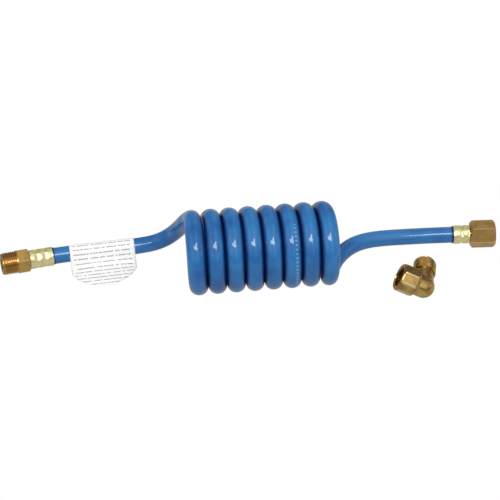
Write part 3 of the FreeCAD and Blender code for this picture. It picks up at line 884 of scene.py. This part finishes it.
class AIRHOSE_OT_stage(bpy.types.Operator):
    """Set the camera, the soft lights and the pale floor"""
    bl_idname = "airhose.stage"
    bl_label = "Stage"

    def execute(self, context):
        scene = context.scene
        look = scene.stage_look
        target = COIL_MIDDLE + Vector((-0.0096, -0.00156, 0.0))
        away = Vector((-math.sin(look.turn) * math.cos(look.elevation),
                       -math.cos(look.turn) * math.cos(look.elevation), math.sin(look.elevation)))
        camera_data = bpy.data.cameras.new("camera")
        camera_data.lens = look.lens
        camera_data.sensor_width = 36.0
        camera_data.clip_start = 0.01
        camera = bpy.data.objects.new("camera", camera_data)
        camera.location = target + away * look.distance
        camera.rotation_euler = (-away).to_track_quat("-Z", "Y").to_euler()
        scene.collection.objects.link(camera)
        scene.camera = camera
        scene.view_settings.view_transform = "Standard"

        bm = bmesh.new()
        bmesh.ops.create_grid(bm, x_segments=2, y_segments=2, size=6.0)
        floor = place_mesh(bm, "floor", Matrix.Translation((0, 0, -0.0002)))
        floor.data.materials.append(pale_floor())

        studio_surroundings(look.brightness)
        soft_light("key", (-0.10, -0.74, 0.98), COIL_MIDDLE, 0.85, 0.20, 4.2)
        soft_light("key_corner", (0.10, -0.60, 1.08), COIL_MIDDLE, 0.34, 0.18, 1.5)
        return {"FINISHED"}


# ---------------------------------------------------------------- brass fittings
class AIRHOSE_OT_male_end(bpy.types.Operator):
    """Make the turned male stem: a hexagon with a threaded end"""
    bl_idname = "airhose.male_end"
    bl_label = "Male end"

    def execute(self, context):
        sizes = context.scene.fitting_sizes
        hex_across, hex_length, lead = sizes.hex_across, sizes.hex_length, 1.3
        end = hex_length + sizes.thread_length
        root = PIPE_THREAD - sizes.thread_depth
        bm = bmesh.new()
        loft(bm, [round_ring(STEM_BORE, STEM_START), round_ring(STEM_NECK, STEM_START),
                  round_ring(STEM_NECK, 0.0)]
             + turned_flats(hex_across, 6, 0.0, hex_length, 8.45, 1.6, True, False)
             + [round_ring(root - 0.1, hex_length), round_ring(root - 0.1, end), round_ring(5.3, end),
                round_ring(4.7, end - 0.6), round_ring(4.7, hex_length), round_ring(STEM_BORE, hex_length)],
             sizes.facets, True)
        thread_ring(bm, PIPE_THREAD, root, root - 0.2, sizes.thread_pitch, hex_length + 0.9, end,
                    (PIPE_THREAD - lead, lead))
        # painted shade in the thread roots and the bore, and a painted highlight along the hexagon's corners
        store_local(bm, lambda co: 0.55 if co.z > hex_length + 0.3 and co.xy.length < root + 0.1 else 0.0,
                    hex_across / 2 / math.cos(math.pi / 6) - EDGE_HIGHLIGHT_MARGIN)
        piece = place_mesh(bm, "male_stem_turned",
                           fitting_place("inlet_thread", INLET_MOUNT_OFFSET, math.radians(98.0)))
        finish_piece(piece, fitting_brass(), "inlet_end", ("male_stem",),
                     rounding=sizes.edge_round)
        return {"FINISHED"}


def crimped_rings(length, outer, hose_radius, bands, jaws):
    """The rings of a sleeve that jaws have pressed in along some bands."""
    def pressed(height):
        depth = 0.0
        for middle, width, deep in bands:
            depth = max(depth, deep * max(0.0, 1 - ((height - middle) / width) ** 2))
        return depth

    def ring(height):
        def shape(angle):
            depth = pressed(height)
            sector = 2 * math.pi / jaws
            from_middle = (angle + 0.35) % sector - sector / 2
            flat = (1 / math.cos(from_middle) - 1) * outer
            return max(outer - depth + min(flat, depth) * 1.2 - 0.2 * depth, hose_radius + 0.3), height
        return shape

    steps = 28
    rings = [round_ring(hose_radius + 0.05, 0.0), round_ring(outer - 0.25, 0.0)]
    rings += [ring(0.25 + (length - 0.5) * index / steps) for index in range(steps + 1)]
    rings += [round_ring(outer - 0.3, length), round_ring(5.1, length), round_ring(5.1, length - 1.0),
              round_ring(hose_radius + 0.05, length - 1.0)]
    return rings


class AIRHOSE_OT_ferrules(bpy.types.Operator):
    """Make the two crimped ferrules"""
    bl_idname = "airhose.ferrules"
    bl_label = "Ferrules"

    def execute(self, context):
        sizes = context.scene.fitting_sizes
        for name, mount, offset, length, bands, body in (
                ("inlet_ferrule", "inlet_thread", INLET_MOUNT_OFFSET, 18.0,
                 ((6.0, 2.6, 0.55), (12.0, 2.6, 0.55)), "inlet_end"),
                ("outlet_ferrule", "outlet_thread", OUTLET_MOUNT_OFFSET, 12.4,
                 ((0.9, 1.2, 0.2), (6.4, 1.6, 0.7), (11.6, 1.0, 0.45)), "outlet_end")):
            bm = bmesh.new()
            loft(bm, crimped_rings(length, 7.3, 6.35, bands, 8), sizes.facets, True)
            store_local(bm)
            place = fitting_place(mount, offset, 0.0) @ Matrix.Translation((0, 0, -(length + 0.3)))
            piece = place_mesh(bm, f"{name}_crimped", place)
            finish_piece(piece, ferrule_brass(), body, (name,), rounding=sizes.edge_round)
        return {"FINISHED"}


class AIRHOSE_OT_swivel(bpy.types.Operator):
    """Make the swivel nut and the tailpiece that holds it"""
    bl_idname = "airhose.swivel"
    bl_label = "Swivel end"

    def execute(self, context):
        sizes = context.scene.fitting_sizes
        place = fitting_place("outlet_thread", OUTLET_MOUNT_OFFSET, 0.0)
        bm = bmesh.new()
        loft(bm, [round_ring(STEM_BORE, STEM_START), round_ring(STEM_NECK, STEM_START),
                  round_ring(STEM_NECK, 3.3), round_ring(7.0, 3.3), round_ring(7.0, 8.7),
                  round_ring(6.5, 9.3), round_ring(5.7, 9.3), round_ring(STEM_BORE, 6.35)],
             sizes.facets, True)
        store_local(bm)
        tailpiece = place_mesh(bm, "swivel_tailpiece_turned", place)
        finish_piece(tailpiece, fitting_brass(), "outlet_end", ("swivel_tailpiece",),
                     rounding=sizes.edge_round)

        start, end, across = 0.3, sizes.nut_end, sizes.nut_across
        crest = 7.2
        root = crest + sizes.thread_depth
        bm = bmesh.new()
        journal, shoulder = 5.2, 3.1
        loft(bm, [round_ring(journal, start)]
             + turned_flats(across, 6, start, end, 9.1, 1.7, True, True)
             + [round_ring(root + 0.35, end), round_ring(root + 0.05, end - 0.3),
                round_ring(root + 0.05, shoulder), round_ring(journal, shoulder)],
             sizes.facets, True)
        thread_ring(bm, crest, root, root + 0.15, sizes.thread_pitch, 9.5, end - 0.6)
        # painted shade inside the nut's thread, and a painted highlight along the hexagon's corners
        store_local(bm, lambda co: 0.5 if co.xy.length < root + 0.1 and 3.0 < co.z < end - 0.4 else 0.0,
                    across / 2 / math.cos(math.pi / 6) - EDGE_HIGHLIGHT_MARGIN)
        nut = place_mesh(bm, "swivel_nut_turned", place)
        finish_piece(nut, fitting_brass(), "nut", ("swivel_nut",), rounding=sizes.edge_round)
        return {"FINISHED"}


class AIRHOSE_OT_elbow(bpy.types.Operator):
    """Make the loose street elbow: a forged bend with a socket and a threaded stub"""
    bl_idname = "airhose.elbow"
    bl_label = "Street elbow"

    def execute(self, context):
        sizes = context.scene.fitting_sizes
        female = Vector(MOUNTS["elbow_socket"]["axis"]).normalized()
        male = Vector(MOUNTS["elbow_stub"]["axis"]).normalized()
        crossing = Vector(MOUNTS["elbow_socket"]["pos_m"]) - female * SOCKET_MOUNT_OFFSET * MM
        place = Matrix.Translation(crossing) @ facing(male, female) @ Matrix.Scale(MM, 4)
        along_male = Matrix.Rotation(math.radians(90), 4, "Y")
        turned = Matrix.Rotation(math.pi / ELBOW_FLATS, 4, "Z")

        forging = bmesh.new()
        across, start, mouth = 20.64, 6.2, 20.4
        socket, socket_floor = 8.75, 8.9
        loft(forging, [round_ring(ELBOW_PASSAGE, 5.0)]
             + turned_flats(across, ELBOW_FLATS, start, mouth, 9.7, 2.1, True, True)
             + [round_ring(socket, mouth), round_ring(socket, socket_floor),
                round_ring(ELBOW_PASSAGE, socket_floor)], sizes.facets, True)
        bmesh.ops.transform(forging, matrix=turned, verts=forging.verts)
        neck_start = len(forging.verts)
        loft(forging, [round_ring(8.1, 0.0), round_ring(7.1, 12.0), round_ring(7.1, 15.4),
                       round_ring(7.9, 16.0), round_ring(7.9, 27.0), round_ring(5.1, 27.1),
                       round_ring(ELBOW_PASSAGE, 26.8), round_ring(ELBOW_PASSAGE, 9.0),
                       round_ring(0.6, 9.0), round_ring(0.6, 0.0)], sizes.facets, True)
        forging.verts.ensure_lookup_table()
        bmesh.ops.transform(forging, matrix=along_male, verts=forging.verts[neck_start:])
        loft(forging, [round_ring(ELBOW_BEND, 0.0), round_ring(ELBOW_BEND, 7.4)], 48, False)
        bmesh.ops.create_uvsphere(forging, u_segments=48, v_segments=24, radius=ELBOW_BEND)
        body = place_mesh(forging, "elbow_forging")
        remesh = body.modifiers.new("one_skin", "REMESH")
        remesh.mode = "VOXEL"
        remesh.voxel_size = 0.32
        forged = body.modifiers.new("forged", "SMOOTH")
        forged.iterations = 3
        forged.factor = 0.5
        cutters = []
        for turn in (Matrix.Identity(4), along_male):
            passage = bmesh.new()
            loft(passage, [round_ring(ELBOW_PASSAGE, -4.4), round_ring(ELBOW_PASSAGE, 30.0)], 64, False)
            cutters.append(place_mesh(passage, "elbow_passage", turn))
            bore = body.modifiers.new("passage", "BOOLEAN")
            bore.operation = "DIFFERENCE"
            bore.solver = "EXACT"
            bore.object = cutters[-1]
        bpy.context.view_layer.update()
        skin = bpy.data.meshes.new_from_object(body.evaluated_get(bpy.context.evaluated_depsgraph_get()))
        for scratch in [body] + cutters:
            bpy.data.objects.remove(scratch)

        bm = bmesh.new()
        bm.from_mesh(skin)
        bpy.data.meshes.remove(skin)
        root = PIPE_THREAD - sizes.thread_depth
        stub = bmesh.new()
        thread_ring(stub, PIPE_THREAD, root, 7.6, sizes.thread_pitch, 15.2, 27.2, (7.2, 1.5))
        bmesh.ops.transform(stub, matrix=along_male, verts=stub.verts)
        add_mesh(bm, stub)
        thread_ring(bm, 7.6, 7.6 + sizes.thread_depth, 8.9, sizes.thread_pitch, 9.2, mouth - 0.7)
        # painted shade inside the socket
        store_local(bm, lambda co: 0.5 if co.xy.length < 8.6 and 8.5 < co.z < mouth - 0.3 else 0.0)
        # painted highlight along the octagon's corners
        edge_highlight = bm.verts.layers.float["edge_highlight"]
        for vert in bm.verts:
            if start < vert.co.z < mouth and vert.co.xy.length < 11.6:
                vert[edge_highlight] = soft_step((vert.co.xy.length - 10.72) / 0.3)
        elbow = place_mesh(bm, "street_elbow_forged", place)
        finish_piece(elbow, elbow_brass(), "elbow", ("street_elbow",), sharp_angle=50.0)
        return {"FINISHED"}


# ---------------------------------------------------------------- label
def film_section(hose_radius, height, reach):
    """The film's section, from its lower layer's edge round the hose and back along the upper layer."""
    around = hose_radius + 0.25
    floor = -height + 0.12
    section = [(-reach, floor), (-26.0, floor), (-20.0, floor), (-14.0, floor),
               (-9.0, floor + 0.05), (-5.0, floor + 0.1)]
    for step in range(23):
        angle = math.radians(-75 + step * 10)
        section.append((around * math.cos(angle), around * math.sin(angle)))
    upper = floor + 0.3
    section += [(-7.9, -1.0), (-9.8, -3.6), (-12.0, -5.3), (-15.0, upper + 0.25),
                (-20.0, upper), (-26.0, upper), (-reach, upper)]
    return section


class AIRHOSE_OT_label(bpy.types.Operator):
    """Fold the film label round the hose"""
    bl_idname = "airhose.label"
    bl_label = "Label"

    def execute(self, context):
        sizes = context.scene.label_sizes
        width, reach, end_radius, steps = sizes.width, sizes.reach, sizes.end_radius, 30
        hose_radius, fold, side_margin = 6.35, 9.0, 2.5
        section = film_section(hose_radius, LABEL_MIDDLE.z / MM, reach)
        lengths = [0.0]
        for before, after in zip(section, section[1:]):
            lengths.append(lengths[-1] + math.dist(before, after))
        bm = bmesh.new()
        on_film = bm.verts.layers.float_vector.new("on_film_mm")
        verts = [bm.verts.new((-width / 2, y, z)) for y, z in section]
        for vert, length in zip(verts, lengths):
            vert[on_film] = Vector((0.0, lengths[-1] - length, 0.0))
        edges = [bm.edges.new(pair) for pair in zip(verts, verts[1:])]
        for step in range(steps):
            made = bmesh.ops.extrude_edge_only(bm, edges=edges)
            verts, edges = new_verts_and_edges(made["geom"])
            bmesh.ops.translate(bm, vec=(width / steps, 0, 0), verts=verts)
        straight = reach - end_radius
        for vert in bm.verts:
            x = vert.co.x
            rounded = straight + math.sqrt(max(end_radius ** 2 - x * x, 0.0))
            stored = vert[on_film]
            vert[on_film] = Vector((x, stored.y, width / 2 - side_margin))
            if vert.co.y < -fold:
                share = (-fold - vert.co.y) / (reach - fold)
                moved = -fold - share * (rounded - fold)
                vert[on_film].y += moved - vert.co.y
                vert.co.y = moved
        bmesh.ops.recalc_face_normals(bm, faces=bm.faces)
        place = (Matrix.Translation(LABEL_MIDDLE) @ Matrix.Rotation(LABEL_HEADING, 4, "Z")
                 @ Matrix.Scale(MM, 4))
        label = place_mesh(bm, "label_film_folded", place)
        finish_piece(label, label_material(), "inlet_end", ("label_tag",), sharp_angle=60.0)
        wall = label.modifiers.new("film", "SOLIDIFY")
        wall.thickness = 0.00014
        wall.offset = 0.0
        return {"FINISHED"}


# ---------------------------------------------------------------- panel and registration
class AIRHOSE_PT_panel(bpy.types.Panel):
    """Buttons for each piece, with the sizes and colours"""
    bl_idname = "AIRHOSE_PT_panel"
    bl_label = "Air hose"
    bl_space_type = "VIEW_3D"
    bl_region_type = "UI"
    bl_category = "Air hose"

    def draw(self, context):
        layout = self.layout
        for operator in OPERATORS:
            layout.operator(operator.bl_idname)
        for group_name in GROUPS:
            group = getattr(context.scene, group_name)
            box = layout.box()
            for name in type(group).__annotations__:
                box.prop(group, name)


OPERATORS = (AIRHOSE_OT_stage, AIRHOSE_OT_ferrules, AIRHOSE_OT_swivel, AIRHOSE_OT_hose, AIRHOSE_OT_male_end,
             AIRHOSE_OT_elbow, AIRHOSE_OT_label)
GROUPS = {"hose_sizes": HoseSizes, "fitting_sizes": FittingSizes, "label_sizes": LabelSizes,
          "finish_colours": FinishColours, "stage_look": StageLook}


def register():
    for group in GROUPS.values():
        bpy.utils.register_class(group)
    for name, group in GROUPS.items():
        setattr(bpy.types.Scene, name, PointerProperty(type=group))
    for operator in OPERATORS:
        bpy.utils.register_class(operator)
    bpy.utils.register_class(AIRHOSE_PT_panel)


def unregister():
    bpy.utils.unregister_class(AIRHOSE_PT_panel)
    for operator in reversed(OPERATORS):
        bpy.utils.unregister_class(operator)
    for name in GROUPS:
        delattr(bpy.types.Scene, name)
    for group in reversed(list(GROUPS.values())):
        bpy.utils.unregister_class(group)


def main():
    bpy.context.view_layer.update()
    register()
    bpy.ops.airhose.stage()
    bpy.ops.airhose.ferrules()
    bpy.ops.airhose.swivel()
    bpy.ops.airhose.hose()
    bpy.ops.airhose.male_end()
    bpy.ops.airhose.elbow()
    bpy.ops.airhose.label()


if __name__ == "__main__":
    main()
